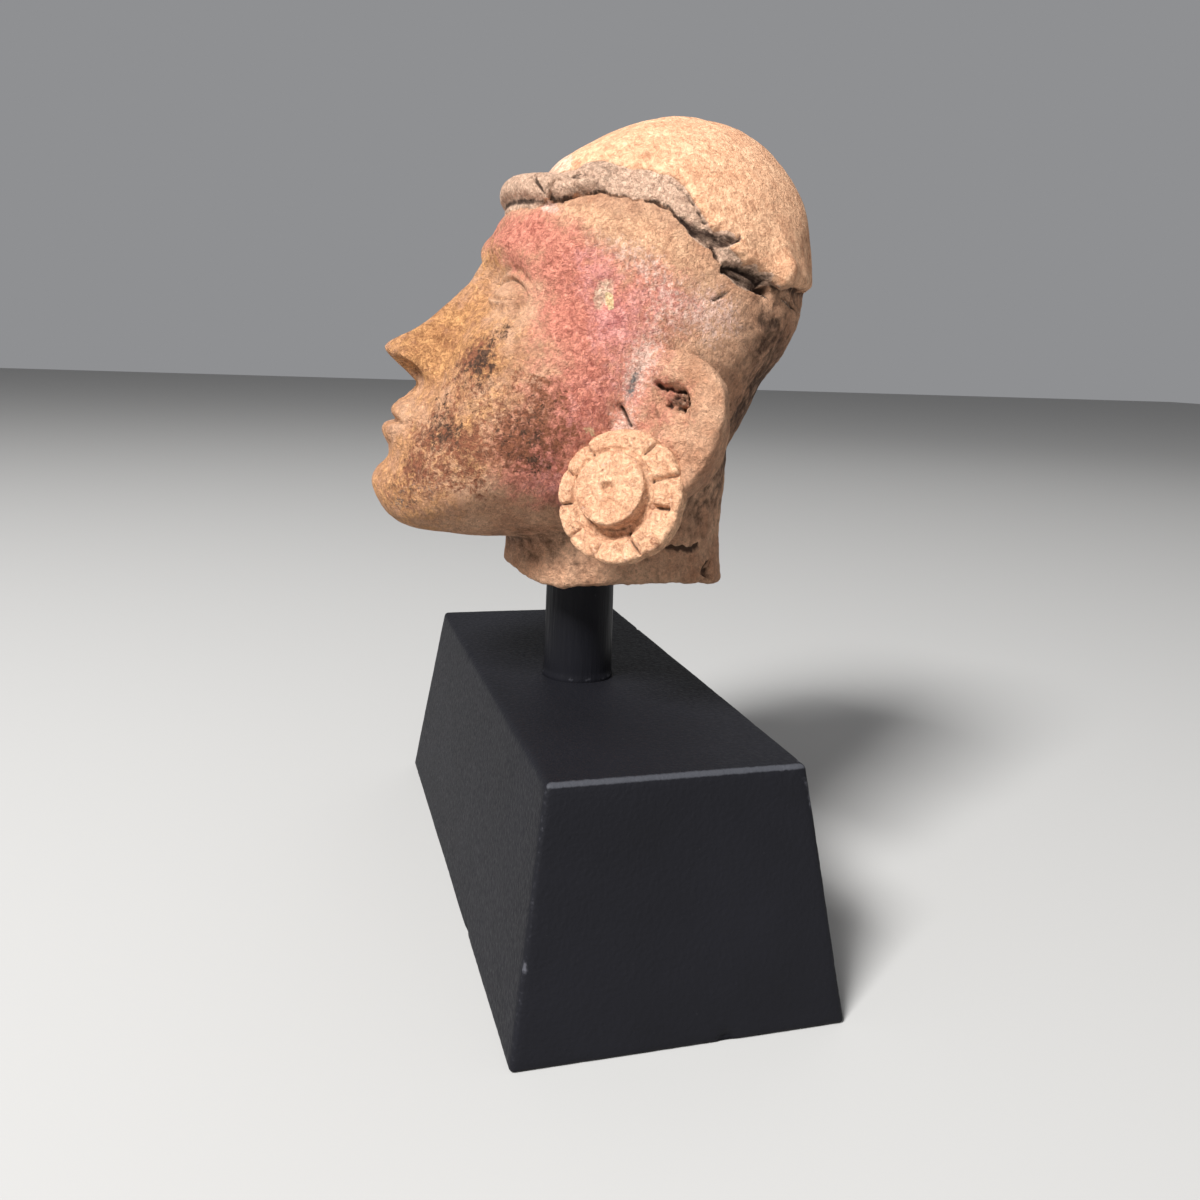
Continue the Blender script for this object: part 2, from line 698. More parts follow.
def make_ear(hand):
    """The ear's slab with rounded edges, and the clay that ties it to the head."""
    ring = rounded_ring(EAR_OUTLINE, 120)
    slab = make_slab("ear_slab", ring, EAR_FACE - EAR_THICK, EAR_FACE)
    finish_with(slab, "BEVEL", width=2.3 * MM, segments=5, limit_method="ANGLE",
                angle_limit=math.radians(50))
    middle = np.array((7.0, -35.0))
    root_ring = middle + (ring - middle) * 0.68
    root = make_slab("ear_root", root_ring, -27, EAR_FACE - EAR_THICK + 1, 0.92 / 0.68, middle)
    return [set_on_ear(slab, hand), set_on_ear(root, hand)]


def shape_face(head, moved):
    """Pushes the eyelids, lips and nostrils into the front of the head."""
    front = step(head[:, 1], 26, 40) * step(head[:, 2], 14, 8)
    moved[:, 1] += face_detail(head[:, 0], head[:, 2]) * front
    for hand in (-1, 1):
        away = (head - (hand * 6.0, 67.5, NOSE_FOOT_UP + 1.2)) / (3.0, 4.4, 3.2)
        dent = np.exp(-(away ** 2).sum(1)) * 3.4
        moved += dent[:, None] * (0, -0.35, 0.93)
    return moved


def ear_depth(head, hand):
    """How far the ear's inner forms stand above (or below) its flat slab."""
    depth = np.zeros(len(head))
    middle = (hand * 60.0, 0.0, -37.0)
    near = np.flatnonzero(distance_from(head, middle) < 40)
    depth[near] = ear_forms(head[near], hand)
    return depth


def in_ear_hole(flat):
    """1 in the broken floor of the ear's hole."""
    return blunt(distance_from(flat, (7.6, -24.9), (4.6, 2.7)), 1.0)


def ear_forms(head, hand):
    """The raised rim, the hollow, the hole and the grit on one ear."""
    plane = to_ear(head, hand)
    flat, outwards = plane[:, :2], plane[:, 2]
    on_slab = step(inside(flat, rounded_ring(EAR_OUTLINE, 60)), -2.5, 0.5) * step(outwards, -5, -1)
    wander = 0.35 * bumps(head, 3.1, 31)
    into = inside(flat, EAR_HOLLOW) + wander
    sharp_side = step(flat[:, 0], 4, 10)
    hollow = step(into, -2.4 + 1.9 * sharp_side, 2.4 - 1.2 * sharp_side)
    deeper = bell(np.hypot(flat[:, 0] - 6.5, (flat[:, 1] + 26) * 0.8), 7.5)
    shaken = flat + 0.8 * np.stack([bumps(head, 2.2, 36), bumps(head, 2.2, 37)], 1)
    shaken += 0.6 * np.stack([bumps(head, 1.0, 58), bumps(head, 1.0, 59)], 1)
    hole = np.zeros(len(head))
    for line in EAR_HOLE:
        hole = np.maximum(hole, blunt(nearest_on(shaken, line)[0], 0.95))
    hole *= 0.7 + 0.6 * bumps(head, 1.5, 38)
    hole = np.maximum(hole, 0.45 * in_ear_hole(flat) * (1 + 1.2 * bumps(head, 1.2, 39)))
    sunk = blunt(np.hypot(flat[:, 0] - 7.5, flat[:, 1] + 25.0), 4.6)
    crack, _ = nearest_on(flat, EAR_CRACK)
    rim = 0.45 * bell(into + 4.4, 2.8) * step(flat[:, 0], -6, 4)
    trough = bell(flat[:, 1] + 41, 8) * step(flat[:, 0], -1, 6)
    depth = -1.8 * hollow - 0.6 * hollow * deeper - 0.7 * hollow * trough - 0.9 * sunk - 3.4 * hole + rim
    if hand > 0:
        depth -= 2.0 * bell(crack, 0.7)
    grit = 0.14 * bumps(head, 4.5, 35)
    grit += hollow * (0.4 * bumps(head, 2.4, 33) + 0.25 * bumps(head, 1.2, 34))
    return (depth + grit) * on_slab


# Dark cracks along the band and in the neck: places, width, depth, raggedness
SEAMS = (
    (((40.5, 22, 36.4), (43.5, 17.4, 35.2), (47, 12.4, 31.4), (49.6, 7.6, 27.5)), 0.5, 0.5, 0.6),
    (((36, -22.5, -70.3), (35.2, -26.3, -68.6), (33.9, -30.3, -66.9), (32.6, -33.4, -65.6),
      (30.2, -37.6, -64.1), (29.5, -42, -63.4)), 0.42, 2.2, 0.2),
)


def stub_lift(head):
    """How far each place round the bar of the band stands off the bare head."""
    lift = np.full(len(head), -9.0)
    beside, height = np.abs(head[:, 0]), np.abs(head[:, 2] - 20)
    near = np.flatnonzero((head[:, 1] > 46) & (beside < 34) & (height < 20))
    reach = distance_from(head[near], HEAD_MIDDLE)
    direction = (head[near] - HEAD_MIDDLE) / reach[:, None]
    lift[near] = reach - distance_from(head_surface(direction, 0), HEAD_MIDDLE)
    return lift


def on_stub(head):
    """1 on the bar of the band that still stands out over the forehead."""
    return step(stub_lift(head), 1.0, 2.2) * step(head[:, 2], 2, 6)


def edge_crack(head):
    """The dark line where the band's broken underside meets the head."""
    longitude, above_low, _ = band_places(head)
    turn = np.abs(longitude)
    deep = 1.5 * step(turn, 20, 26) * (1 - step(turn, 42, 54))
    deep += 0.8 * step(turn, 42, 54) * (1 - step(turn, 57, 60))
    deep += 1.9 * step(turn, 57, 60) * (1 - step(turn, 88, 94))
    broken = np.clip(0.85 + 0.45 * bumps(head, 4.0, 57), 0.35, 1.2)
    crack = deep * broken * bell(above_low - 0.1, 0.6) * step(head[:, 2], -5, 0)
    under = bell(stub_lift(head) - 0.8, 0.8) * step(BRIM_UP - head[:, 2], 0, 3) * step(head[:, 2], 2, 6)
    arc = BRIM_BEND * np.arctan2(head[:, 0], head[:, 1] - BRIM_FORWARD + BRIM_BEND)
    on_face = np.stack([arc, head[:, 2] - BRIM_UP], 1)
    across, _ = nearest_on(on_face, ((12.5, 4), (17.3, -1.5), (22.4, -4.6), (25, -7)))
    over = 1.7 * bell(across, 0.6) * on_stub(head)
    return np.maximum(np.maximum(crack, 1.4 * under), over)


def shape_surface(head, normal_push):
    """Breaks, scars, cracks and the hand-made unevenness, as a push along the surface."""
    longitude, _, above_high = band_places(head)
    turn = np.abs(longitude)
    above_neck = step(head[:, 2], -40, 0)
    on_band, on_cap = band_shares(head, (-0.4, 0.8), (-0.8, 0.6), (112, 122), (-0.5, 1))
    coarse = step(head[:, 1], 30, 0) * (1 - on_cap)
    normal_push += 0.45 * bumps(head, 24, 41) + 0.18 * bumps(head, 9, 42) * (1 + 1.2 * coarse)
    normal_push += (0.07 + 0.2 * coarse) * bumps(head, 3.8, 43)
    normal_push += (0.05 + 0.1 * coarse) * bumps(head, 1.9, 44)
    torn = step(turn, 25.5, 28) * (1 - step(turn, 40, 47)) * on_band
    near_band = np.flatnonzero((on_band > 0) | (np.abs(above_high) < 4))
    fibre = np.zeros(len(head))
    along = (0.6, -0.8, -0.15)
    fibre[near_band] = (streaks(head[near_band], along, 1.9, 45)
                        + 0.8 * streaks(head[near_band], along, 3.6, 46))
    normal_push += (0.1 + 0.4 * torn) * on_band * fibre
    scar = on_band * (1 - torn) * step(turn, 25, 36)
    normal_push += scar * (0.26 * bumps(head, 2.8, 47) + 0.22 * bumps(head, 1.3, 48) - 0.2)
    drag = np.zeros(len(head))
    drag[near_band] = streaks(head[near_band], (-0.1, -1, 0.14), 1.8, 49)
    drag[near_band] += 0.8 * streaks(head[near_band], (-0.1, -1, 0.14), 3.2, 50)
    behind = step(turn, 66, 76) * (1 - step(turn, 112, 120)) * above_neck
    normal_push += scar * 0.6 * drag * behind
    lip = bell(above_high - 0.2, 1.3) * behind
    normal_push += lip * 0.6 * drag
    ledge = step(turn, 106, 114) * (1 - step(turn, 138, 155)) * above_neck
    normal_push -= 2.4 * ledge * step(above_high, 0.1, -0.9) * step(above_high, -9, -2)
    nub = distance_from(head, (47.4, -22.8, 24.8), (1, 1, 1.25))
    normal_push += 3.0 * bell(nub, 4.6)
    ridge = nearest_on(head, ((47, -22, 28), (46.5, -19, 34)))[0]
    normal_push += 0.9 * bell(ridge, 3.4)
    chip = distance_from(head, (46.8, 28.0, -4.4), (4.0, 2.8, 5.4))
    chipped = blunt(chip + 0.22 * bumps(head, 2.4, 51), 1.0)
    normal_push -= chipped * (1.1 + 0.5 * bumps(head, 2.2, 52))
    return normal_push


# The one distance from the head's middle that cracks and tears are drawn at
FACING_REACH = 62.0


def facing(points):
    """Each place brought to one distance from the head's middle, so depth doesn't count."""
    away = np.asarray(points, float) - HEAD_MIDDLE
    return away / np.linalg.norm(away, axis=1)[:, None] * FACING_REACH


def seam_depth(head):
    """How deep the dark cracks cut in at each place, in millimetres."""
    depth = np.zeros(len(head))
    flat = facing(head)
    for line, width, most, shake in SEAMS:
        true_line = np.array(line, float)
        line = facing(line)
        near = np.flatnonzero(distance_from(head, true_line.mean(0)) < 34)
        wander = shake * np.stack([bumps(flat[near], 1.9, i) for i in (50, 51, 52)], 1)
        away, along = nearest_on(flat[near] + wander, line)
        ragged = 1 + 0.9 * min(shake, 0.5) * bumps(flat[near], 3.0, 53)
        ends = step(along, 0, 0.06) * step(along, 1, 0.92)
        ends = ends * step(nearest_on(head[near], true_line)[0], 3.4, 1.6)
        depth[near] = np.maximum(depth[near], most * ends * ragged * bell(away, width * ragged))
    return np.maximum(depth, edge_crack(head))


# Torn hollows under the cap's edge: places, half width, depth and the way the fibres run
TEARS = (
    (((48.7, 14.9, 27.2), (49.9, 10.5, 25.2), (51.4, 5.0, 24.6), (51.2, 1.2, 25.2), (50.8, -3.5, 26.8)),
     1.9, 2.2, (0.0, -1, 0.12)),
    (((51.8, -2.7, 18.2), (51.4, -6.4, 18.9), (50.2, -10.8, 18.9), (48.6, -15.4, 18.5),
      (46.7, -20.0, 18.2)), 3.0, 3.8, (-0.1, -1, 0.06)),
    (((45.5, -28.5, 20.4), (42, -33.0, 20.6), (36, -38, 21)), 1.4, 0.9, (-0.6, -1, 0.1)),
    (((23.2, 48.7, 27.8), (28.2, 45.9, 27.2), (31.0, 43.2, 26.6)), 1.6, 1.7, (0.6, -0.8, -0.15)),
    (((22.6, 49.6, 23.6), (26.8, 47.2, 22.6)), 0.7, 0.8, (0.6, -0.8, -0.3)),
    (((52.8, -2.6, 6.9), (52.2, -4.6, 9.2), (51.6, -6.7, 12.0)), 0.6, 1.0, (-0.3, -1, 0.3)),
)


def tear_depth(head):
    """How deep the torn hollows are at each place, deepest under their upper lips."""
    depth = np.zeros(len(head))
    flat = facing(head)
    for line, width, most, grain in TEARS:
        line = facing(line)
        near = np.flatnonzero(distance_from(flat, line.mean(0)) < 26)
        near = near[np.abs(distance_from(head[near], HEAD_MIDDLE) - FACING_REACH) < 13]
        fibre = streaks(flat[near], grain, 1.7, 54) + 0.7 * streaks(flat[near], grain, 3.3, 55)
        away, along = nearest_on(flat[near], line)
        slim = width * (0.2 + 0.8 * np.sin(math.pi * np.clip(along, 0.04, 0.96)) ** 0.8)
        edge = away + 0.4 * width * fibre
        # A cliff under the upper lip, and a slope up to the lower one
        middle = np.interp(along, np.linspace(0, 1, len(line)), line[:, 2])
        lower = step(middle - flat[near, 2], -0.3, 0.8)
        cliff = step(edge, slim * 1.25, slim * 0.7)
        slope = step(edge, slim * 1.6, slim * 0.1)
        cut = most * (cliff * (1 - lower) + slope * lower) * (0.85 + 0.35 * fibre)
        depth[near] = np.maximum(depth[near], cut)
    return depth


def open_seams(head, moved):
    """Presses the cracks and torn hollows straight in towards the head's middle."""
    inwards = HEAD_MIDDLE - head
    inwards /= np.linalg.norm(inwards, axis=1)[:, None]
    return moved + inwards * np.maximum(seam_depth(head), tear_depth(head))[:, None]


def shape_neck(row, normal_push):
    """The neck's broken rim, its lump and its chip."""
    place = row / MM
    x, _, z = place.T
    rim = NECK_RIM + NECK_SIDE_RISE * (x / NECK_HALF_WIDTH) ** 2
    near_rim = step(z, rim + 9, rim + 1) * step(z, 140, 132)
    normal_push += near_rim * (0.55 * bumps(place, 5.5, 61) + 0.3 * bumps(place, 2.3, 62))
    normal_push += 1.8 * bell(distance_from(place, (28.4, -17.4, 118.6)), 4.2)
    chip = distance_from(place, (26.6, 34.2, 119.8), (4.0, 3.6, 4.6))
    normal_push -= 2.8 * blunt(chip + 0.3 * bumps(place, 2.2, 63), 1.0)
    return normal_push


def soft_joints(head):
    """Where added clay was smeared on to the head: behind the ears, under the jaw."""
    weight = 0.10 + 0 * head[:, 0]
    for hand in (-1, 1):
        plane = to_ear(head, hand)
        near = step(np.hypot(plane[:, 0] - 7, plane[:, 1] + 37), 48, 36)
        behind = step(plane[:, 2], -2.5, -7.5)
        seam = step(plane[:, 0], -6.5, -9.5) * step(plane[:, 2], 1.6, -1.5)
        weight = np.maximum(weight, near * np.maximum(behind, seam))
    throat = step(head[:, 2], -62, -72) * step(head[:, 1], 40, 28)
    return np.maximum(weight, throat)


# Patches of colour on the head's left, in keeping on its right, chosen by eye. Each row is a
# place (side, forward, up), its reach each way in millimetres and an amount from 0 to 1.
PAINT_PATCHES = {
    "red_pigment": (
        (22, 54, 5, 30, 20, 12, 0.66), (38, 42, 0, 20, 16, 14, 0.60), (45, 34, -16, 15, 17, 18, 0.56),
        (51, 20, -22, 13, 17, 19, 0.56), (50, 22, -42, 14, 18, 18, 0.52), (44, 30, -58, 16, 20, 18, 0.48),
        (47, 20, -68, 14, 16, 13, 0.50), (51, 12, 4, 12, 20, 13, 0.38), (60, -2, -28, 14, 16, 20, 0.40),
    ),
    "rose_pigment": (
        (48, 27, -8, 13, 15, 13, 0.46), (54, 12, -22, 12, 12, 15, 0.52), (47, 19, -66, 13, 16, 13, 0.56),
        (42, 38, 3, 15, 14, 9, 0.36), (51, 10, 3, 12, 24, 12, 0.32), (50, -8, 6, 10, 16, 10, 0.26),
        (62, -3, -44, 13, 12, 12, 0.36), (48, 24, -38, 12, 14, 16, 0.36),
    ),
    "ochre_wash": (
        (8, 64, -34, 26, 22, 26, 0.60), (33, 50, -34, 18, 17, 18, 0.52), (18, 57, -84, 28, 24, 18, 0.62),
        (36, 46, -58, 18, 18, 17, 0.48), (10, 60, 0, 16, 14, 12, 0.35),
    ),
    # A thin pale bloom over the temple and round the ear
    "chalky_bloom": (
        (50, 8, 2, 12, 16, 12, 0.33), (53, 12, -16, 9, 10, 10, 0.33), (52, -8, 4, 12, 14, 14, 0.40),
        (54, 8, -40, 7, 8, 14, 0.46), (40, 34, 10, 12, 14, 7, 0.34), (61, -4, -48, 12, 10, 12, 0.36),
        (26, 49, 15, 9, 7, 3.5, 0.55), (46, 24, 10, 12, 14, 10, 0.27), (54, 11, -23, 7, 6, 13, 0.42),
    ),
    "scorch": (
        (40, 40, -34, 17, 17, 17, 0.33), (42, 38, -54, 16, 17, 16, 0.38), (46, 24, -58, 14, 16, 14, 0.38),
        (26, 54, -36, 13, 10, 12, 0.32), (24, 54, -62, 16, 13, 14, 0.42), (18, 56, -86, 22, 18, 14, 0.30),
        (34, 48, -74, 16, 16, 12, 0.32), (48, 26, -38, 11, 14, 14, 0.32), (30, 50, 0, 10, 8, 6, 0.32),
        (46, -18, -2, 10, 12, 12, 0.36), (44, -26, -24, 14, 12, 18, 0.34),
        (20, 58, -50, 20, 16, 30, 0.27), (40, 42, -66, 16, 18, 14, 0.20),
    ),
    "soot": (
        (33, 51, -38, 5.5, 7, 10, 0.14), (40, 43, -50, 20, 22, 18, 0.31), (45, 26, -60, 14, 14, 12, 0.32),
        (24, 55, -36, 16, 14, 16, 0.30), (20, 56, -84, 24, 20, 14, 0.25), (48, 27, -42, 12, 14, 14, 0.28),
        (20, 54, -8, 12, 10, 7, 0.36), (34, 48, -24, 12, 12, 9, 0.32), (24, 54, -60, 14, 12, 12, 0.26),
        (26, 54, -70, 16, 16, 14, 0.24), (18, 58, -44, 14, 12, 20, 0.12), (16, 57, -90, 18, 14, 10, 0.20),
    ),
    "grey_stain": (
        (53.6, 10.6, -24.5, 6, 3.2, 10, 0.56), (49, -20, 4, 13, 18, 16, 0.30),
        (20, 54, -8, 12, 10, 7, 0.40), (18, 57, -88, 20, 16, 12, 0.38), (30, 50, -76, 14, 14, 10, 0.34),
    ),
}
# Soil under the nape, round the neck and in the cap's shade
DIRT_PATCHES = (
    (46, -20, 4, 12, 20, 12, 0.22), (36, -38, -14, 22, 20, 32, 0.54), (34, -20, -58, 20, 34, 22, 0.34),
    (20, 10, -86, 28, 30, 12, 0.36), (0, -48, -10, 40, 18, 38, 0.50), (40, 30, -66, 24, 26, 14, 0.18),
    (43, 38, -48, 20, 22, 24, 0.20), (43, -24, 9, 9, 14, 7, 0.50),
    (26.5, -48, -71, 3.4, 4, 5, 0.85),
)
# Paler, less weathered clay on the temple and in front of the ear
PALE_PATCHES = (
    (46, 20, 17, 13, 20, 12, 0.62), (52, 0, 8, 10, 16, 14, 0.46), (54, 8, -40, 6, 6, 12, 0.42),
    (36, 42, 15, 16, 16, 6, 0.52), (26, 51, 14, 10, 8, 4, 0.6), (62, -8, -20, 14, 14, 12, 0.36),
)
# Flecks of pale clay in front of the ear
FLECKS = ((49.5, 20, -33, 3, 3, 3, 0.5), (51, 17, -44, 3, 4, 3, 0.5))


def patch_mask(head, rows, other_side=0.85):
    """How much of a coat its soft patches leave at each place, fainter on the head's right."""
    bare_share = np.ones(len(head))
    broken = 1 + 0.34 * rough(head, 15, 72 + len(rows), 3)
    for side, forward, up, a, b, c, amount in rows:
        for hand, share in ((1, 1.0), (-1, other_side)):
            away = (head - (hand * side, forward, up)) / (a, b, c)
            here = share * amount * broken * np.exp(-(away ** 2).sum(1))
            bare_share *= 1 - np.clip(here, 0, 1)
    return 1 - bare_share


def temple_chip(head):
    """The chip on the temple: how rough and how pale it is."""
    uneven = 0.25 * bumps(head, 2.6, 71)
    crumb = distance_from(head, (46.6, 28.0, -4.6), (4.4, 3.2, 6.2)) + uneven
    leaning = (head - (47.6, 26.0, -5.6)) @ np.array(((1, 0, 0), (0, 0.86, 0.5), (0, -0.5, 0.86)))
    cream = np.linalg.norm(leaning / (2.4, 1.2, 4.2), axis=1) + 1.3 * uneven
    return blunt(crumb, 1.0), blunt(cream, 1.0)


def ear_hole_mask(head):
    """1 in the broken floor of either ear's hole."""
    mask = np.zeros(len(head))
    for hand in (1, -1):
        plane = to_ear(head, hand)
        mask = np.maximum(mask, in_ear_hole(plane[:, :2]) * step(np.abs(plane[:, 2]), 7, 5))
    return mask


def coat_masks(piece, head):
    """Where each pigment, stain and break lies: 0 is none, 0.5 half covered and 1 all covered."""
    on_band, on_cap = band_shares(head, (-0.6, 0.6), (-0.9, 0.5), (112, 120), (-0.8, 0.8))
    for name, rows in PAINT_PATCHES.items():
        other_side = 0.7 if name == "soot" else 0.85
        store(piece, name, patch_mask(head, rows, other_side) * (1 - np.maximum(on_band, on_cap)))
    hollow = hollowness(piece)
    rough_chip, pale_chip = temple_chip(head)
    torn = tear_depth(head)
    in_tears = step(torn, 0.2, 1)
    ear_hole = ear_hole_mask(head)
    turn = np.abs(band_places(head)[0])
    chunk = step(turn, 24, 28) * (1 - step(turn, 40, 48))
    dragged = on_band * (0.08 + 0.5 * chunk + 0.4 * step(turn, 62, 74))
    store(piece, "broken_clay", np.maximum.reduce([on_band, in_tears, 0.66 * rough_chip]))
    store(piece, "torn_shadow", np.maximum(0.62 * step(torn, 0.2, 1.5), 0.55 * ear_hole))
    store(piece, "fibrous", np.maximum.reduce([dragged, in_tears, ear_hole]))
    store(piece, "cream_core", np.maximum(pale_chip, patch_mask(head, FLECKS)))
    store(piece, "cap_clay", np.maximum(on_cap, patch_mask(head, PALE_PATCHES) * (1 - on_band)))
    pits = np.clip(seam_depth(head) * 0.42, 0, 1.1)
    soil = np.maximum(patch_mask(head, DIRT_PATCHES) * (1 - on_cap), pits) + 2.0 * hollow
    store(piece, "dirt", np.clip(soil, 0, 1))
    store(piece, "worn", np.clip(-1.4 * hollow, 0, 1))


def make_head():
    """Joins skull, neck, brim and ears, fuses them and works the surface."""
    values = settings()
    parts = [make_skull(), make_neck(), make_brim(), *make_ear(1), *make_ear(-1)]
    piece = fuse(parts, "fired_clay_head", values.surface_step)
    edges = read_edges(piece)
    row = read_points(piece)
    row = relaxed(row, edges, np.full(len(row), 0.5), 3)
    row = relaxed(row, edges, soft_joints(to_head(row)), 40)
    write_points(piece, row)
    normals = read_normals(piece)
    head = to_head(row)
    moved = open_seams(head, shape_face(head, head.copy()))
    push = shape_surface(head, np.zeros(len(head)))
    push = shape_neck(row, push)
    row = to_row(moved) + normals * (push * MM)[:, None]
    c, s = math.cos(EAR_TURN), math.sin(EAR_TURN)
    for hand in (1, -1):
        depth = ear_depth(head, hand)
        row += to_row(np.outer(depth, (hand * c, s, 0))) - to_row(np.zeros((1, 3)))
    write_points(piece, row)
    thin_to(piece, values.head_triangles)
    socket = add_primitive(bpy.ops.mesh.primitive_cylinder_add, "socket", vertices=72,
                           radius=SOCKET_RADIUS * MM, depth=SOCKET_LENGTH * MM,
                           location=(0, POST_Y * MM, SOCKET_MIDDLE * MM))
    cut_away(piece, socket)
    coat_masks(piece, to_head(read_points(piece)))
    complete(piece, fired_clay("Low fired clay with pigment"), ["clay_head"])
    return piece


def disc_blank(name):
    """A plate with the boss pressed on to it, fused into one even skin on the ear's plane."""
    plate = add_primitive(bpy.ops.mesh.primitive_cylinder_add, "disc_plate", vertices=160,
                          radius=DISC_RADIUS * MM, depth=DISC_THICK * MM)
    finish_with(plate, "BEVEL", width=1.5 * MM, segments=4, limit_method="ANGLE",
                angle_limit=math.radians(50))
    write_points(plate, read_points(plate)
                 + np.array((DISC_BACK, DISC_UP, DISC_FACE - DISC_THICK / 2)) * MM)
    boss_depth = BOSS_PROUD + BOSS_ROOT
    boss = add_primitive(bpy.ops.mesh.primitive_cylinder_add, "disc_boss", vertices=90,
                         radius=BOSS_RADIUS * MM, depth=boss_depth * MM)
    finish_with(boss, "BEVEL", width=0.9 * MM, segments=4, limit_method="ANGLE",
                angle_limit=math.radians(50))
    at = read_points(boss) / MM
    ring = wrapped(at[:, 0], at[:, 1], at[:, 2] * 0.2, 9)
    at[:, :2] *= (1 + 0.045 * bumps(ring, 7, 81) + 0.02 * bumps(ring, 2.6, 82))[:, None]
    # The boss was pressed on a little askew, so it stands out more towards the bottom right
    at[:, 2] += 0.06 * (at[:, 0] * 0.47 - at[:, 1] * 0.88)
    at += (BOSS_BACK, BOSS_UP, DISC_FACE + BOSS_PROUD - boss_depth / 2)
    write_points(boss, at * MM)
    return fuse([plate, boss], name, settings().disc_step)


def petal_cuts(hand):
    """The cuts that part the petals, turned a little on the right disc."""
    if hand > 0:
        return PETAL_CUTS
    middle = np.array((DISC_BACK, DISC_UP))
    c, s = math.cos(RIGHT_DISC_TURN), math.sin(RIGHT_DISC_TURN)
    spin = np.array([[c, -s], [s, c]])
    return [(middle + spin @ (np.array(a) - middle), middle + spin @ (np.array(b) - middle),
             width, depth) for a, b, width, depth in PETAL_CUTS]


def petal_depth(at, hand, seed):
    """How deep the disc sinks between its petals, and how far the cuts notch its rim."""
    flat = at[:, :2]
    middle = np.array((DISC_BACK, DISC_UP))
    wander = 0.3 * np.stack([bumps(at, 3, seed), bumps(at, 3, seed + 1)], 1)
    sink, pillow, notch = np.zeros((3, len(at)))
    for a, b, width, depth in petal_cuts(hand):
        away, along = nearest_on(flat + wander, (a, b))
        sink = np.maximum(sink, depth * bell(away, width) * step(along, -0.01, 0.18))
        pillow = np.maximum(pillow, bell(away, 2.6))
        past_rim = b + (np.array(b) - middle) * 0.2
        notch = np.maximum(notch, bell(nearest_on(flat, (b, past_rim))[0], 1.7))
    return sink + 0.35 * pillow, notch


def groove_depth(flat):
    """The groove pressed round the boss, wide and deep at its lower right."""
    from_boss = distance_from(flat, (BOSS_BACK, BOSS_UP))
    bearing = np.arctan2(flat[:, 1] - BOSS_UP, flat[:, 0] - BOSS_BACK)
    side = bell(np.angle(np.exp(1j * (bearing - math.radians(-62)))), 1.25)
    width = 0.7 + 1.7 * side
    return (0.6 + 2.9 * side) * blunt(from_boss - BOSS_RADIUS - 0.6 - width * 0.45, width)


def make_disc(hand):
    """One ear disc: a thick plate cut into petals, with a raised boss and a pierced middle."""
    piece = disc_blank("ear_disc_left" if hand > 0 else "ear_disc_right")
    seed = 90 if hand > 0 else 120
    at = read_points(piece) / MM
    at = relaxed(at, read_edges(piece), np.full(len(at), 0.7), 4)
    flat = at[:, :2]
    from_middle = flat - (DISC_BACK, DISC_UP)
    radius = np.linalg.norm(from_middle, axis=1)
    from_boss = distance_from(flat, (BOSS_BACK, BOSS_UP))
    front = step(at[:, 2], DISC_FACE - 3.2, DISC_FACE - 1.2)
    off_boss = step(from_boss, BOSS_RADIUS - 0.4, BOSS_RADIUS + 0.6)
    sink, notch = petal_depth(at, hand, seed)
    dimple = distance_from(flat, BOSS_DIMPLE)
    drop = off_boss * (sink + groove_depth(flat)) * front
    drop += (1.7 * blunt(dimple, 1.8) - 0.3 * bell(dimple - 2.7, 0.8)) * (1 - off_boss) * front
    at[:, 2] -= drop
    outer = step(radius, DISC_RADIUS * 0.72, DISC_RADIUS)
    swell = (0.5 * bumps(at * (1, 1, 0.2), 9, seed + 2) - 0.55 * notch) * outer
    at[:, :2] += (from_middle / np.maximum(radius, 1e-6)[:, None]) * swell[:, None]
    write_points(piece, at * MM)
    grit = 0.16 * bumps(at, 5.5, seed + 3) + 0.1 * bumps(at, 2.3, seed + 4)
    at += read_normals(piece) * (grit + 0.05 * bumps(at, 1.1, seed + 5))[:, None]
    write_points(piece, at * MM)
    set_on_ear(piece, hand)
    thin_to(piece, settings().disc_triangles)
    # The discs have the cap's smooth pale clay, a little soiled
    masks = {coat[0]: 0.0 for coat in COATS}
    masks.update(cap_clay=0.85, chalky_bloom=0.32, scorch=0.37, fibrous=0.0, torn_shadow=0.0)
    for name, amount in masks.items():
        store(piece, name, np.full(len(piece.data.vertices), amount))
    hollow = hollowness(piece)
    store(piece, "dirt", np.clip(2.2 * hollow, 0, 1))
    store(piece, "worn", np.clip(-1.4 * hollow, 0, 1))
    complete(piece, bpy.data.materials["Low fired clay with pigment"], ["clay_head"])
    return piece


# Post and block

